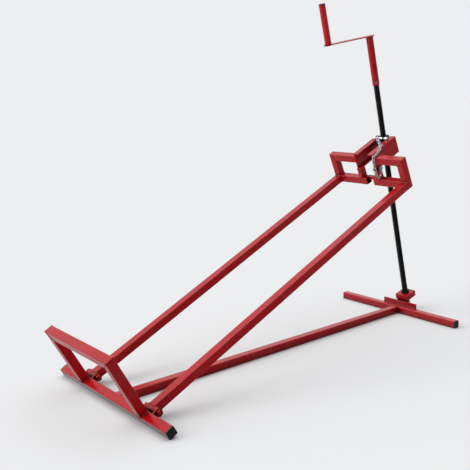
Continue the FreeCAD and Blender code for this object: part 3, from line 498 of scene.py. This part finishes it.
# ------------------------------------------------------------------------------------------------
# Spindle thread
# ------------------------------------------------------------------------------------------------
PITCH = 4.0
CREST_RADIUS = 10.0
ROOT_RADIUS = 8.2
JOURNAL_RADIUS = 6.0
JOURNAL_FOOT = 10.0  # heights above the lower pivot
SHOULDER = 29.3
THREAD_START = 62.0
THREAD_STOP = 838.0
RUN_OUT = 6.0  # over which the thread fades in
THREAD_SIDES = 28
STEPS_PER_TURN = 8
THREAD_PROFILE = [(0.0, ROOT_RADIUS), (0.10, ROOT_RADIUS), (0.28, CREST_RADIUS),
                  (0.55, CREST_RADIUS), (0.73, ROOT_RADIUS), (1.0, ROOT_RADIUS)]


def thread_radius(turn):
    """Radius of the trapezoidal thread at this share of a turn."""
    share = turn % 1.0
    for (p0, r0), (p1, r1) in zip(THREAD_PROFILE, THREAD_PROFILE[1:]):
        if p0 <= share <= p1:
            return r0 + (r1 - r0) * (share - p0) / (p1 - p0)
    return ROOT_RADIUS


def threaded_rod():
    """The spindle with its journal and thread, in place of the frame's plain rod."""
    plain = [(JOURNAL_FOOT, JOURNAL_RADIUS), (SHOULDER, JOURNAL_RADIUS),
             (SHOULDER, CREST_RADIUS), (THREAD_START, CREST_RADIUS)]
    rows = [(z, [radius] * THREAD_SIDES) for z, radius in plain]
    z = THREAD_START
    while z < THREAD_STOP:
        fade = min(1.0, (z - THREAD_START) / RUN_OUT)
        depths = [CREST_RADIUS - thread_radius(z / PITCH - k / THREAD_SIDES) for k in range(THREAD_SIDES)]
        rows.append((z, [CREST_RADIUS - depth * fade for depth in depths]))
        z += PITCH / STEPS_PER_TURN
    rows.append((THREAD_STOP, [CREST_RADIUS - 0.8] * THREAD_SIDES))
    vertices = [spindle_point(radius, 2 * math.pi * k / THREAD_SIDES, z)
                for z, radii in rows for k, radius in enumerate(radii)]
    faces = tube_faces(len(rows), THREAD_SIDES, closed=False)
    rod = add_mesh("spindle_thread", vertices, faces, BLACK, "spindle", smooth=False)
    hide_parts("spindle_rod")


threaded_rod()

# ------------------------------------------------------------------------------------------------
# Stage, light and camera
# ------------------------------------------------------------------------------------------------
FLOOR_REACH = 400.0  # metres, far enough to meet the surroundings at the horizon
FLOOR_LEVEL = -0.0002
FLOOR_CELLS = 8
SURROUNDINGS = (0.838, 0.853, 0.871)


def floor_sheet():
    """Wide pale floor that runs out to the horizon."""
    mesh = bpy.data.meshes.new("floor")
    row = FLOOR_CELLS + 1
    ticks = [(2 * i / FLOOR_CELLS - 1) * FLOOR_REACH for i in range(row)]
    vertices = [(x, y, FLOOR_LEVEL) for y in ticks for x in ticks]
    faces = [(j * row + i, j * row + i + 1, (j + 1) * row + i + 1, (j + 1) * row + i)
             for j in range(FLOOR_CELLS) for i in range(FLOOR_CELLS)]
    mesh.from_pydata(vertices, [], faces)
    floor = bpy.data.objects.new("floor", mesh)
    bpy.context.scene.collection.objects.link(floor)
    look = Look("paper")
    tone = look.drift(look.noise(0.8, 2.0), (0.668, 0.672, 0.677), (0.673, 0.677, 0.682))
    look.drive(tone, "Base Color")
    look.shader.inputs["Roughness"].default_value = 1.0
    look.shader.inputs["Specular IOR Level"].default_value = 0.0
    mesh.materials.append(look.material)
    floor.visible_glossy = False


def sun(name, towards, strength, angle):
    """Distant soft light shining along a direction; angle is its apparent width in degrees."""
    data = bpy.data.lights.new(name, "SUN")
    data.energy = strength
    data.angle = math.radians(angle)
    lamp = bpy.data.objects.new(name, data)
    lamp.rotation_euler = Vector(towards).to_track_quat("-Z", "Y").to_euler()
    bpy.context.scene.collection.objects.link(lamp)


def studio_air():
    """Even pale surroundings for the picture, and light that is weaker on the right-hand side."""
    world = bpy.data.worlds.new("studio")
    world.use_nodes = True
    nodes = world.node_tree.nodes
    links = world.node_tree.links
    seen = nodes["Background"]
    seen.inputs["Color"].default_value = (*SURROUNDINGS, 1.0)
    seen.inputs["Strength"].default_value = 1.0
    lit = nodes.new("ShaderNodeBackground")
    lit.inputs["Color"].default_value = (0.97, 0.985, 1.0, 1.0)
    bright_side = nodes.new("ShaderNodeVectorMath")
    bright_side.operation = "DOT_PRODUCT"
    bright_side.inputs[1].default_value = (-0.80, 0.10, 0.60)
    level = nodes.new("ShaderNodeMapRange")
    level.inputs["From Min"].default_value = -0.75
    level.inputs["From Max"].default_value = 0.75
    level.inputs["To Min"].default_value = 0.06
    level.inputs["To Max"].default_value = 0.92
    links.new(nodes.new("ShaderNodeTexCoord").outputs["Generated"], bright_side.inputs[0])
    links.new(bright_side.outputs["Value"], level.inputs["Value"])
    links.new(level.outputs["Result"], lit.inputs["Strength"])
    choose = nodes.new("ShaderNodeMixShader")
    links.new(nodes.new("ShaderNodeLightPath").outputs["Is Camera Ray"], choose.inputs["Fac"])
    links.new(lit.outputs["Background"], choose.inputs[1])
    links.new(seen.outputs["Background"], choose.inputs[2])
    links.new(choose.outputs["Shader"], nodes["World Output"].inputs["Surface"])
    bpy.context.scene.world = world


def place_camera():
    """Camera at the front right, a little above the spindle's middle."""
    heading, dip = -0.84429, 0.17234  # radians, from +Y towards +X and below level
    forward = Vector((math.sin(heading) * math.cos(dip), math.cos(heading) * math.cos(dip), -math.sin(dip)))
    lens = bpy.data.cameras.new("camera")
    lens.sensor_width = 36.0
    lens.lens = 54.22
    lens.shift_x = -0.0319
    lens.shift_y = -0.0319
    lens.clip_start = 0.05
    lens.clip_end = 600.0
    camera = bpy.data.objects.new("camera", lens)
    bpy.context.scene.collection.objects.link(camera)
    camera.location = (1.5244, -1.4670, 0.7838)
    camera.rotation_mode = "QUATERNION"
    camera.rotation_quaternion = forward.to_track_quat("-Z", "Y")
    bpy.context.scene.camera = camera


floor_sheet()
sun("key", (0.38, 0.80, -0.62), 1.55, 45)
sun("crown", (0.10, -0.15, -1.0), 0.95, 70)
studio_air()
bpy.context.scene.view_settings.view_transform = "Standard"
bpy.context.scene.view_settings.look = "None"
place_camera()
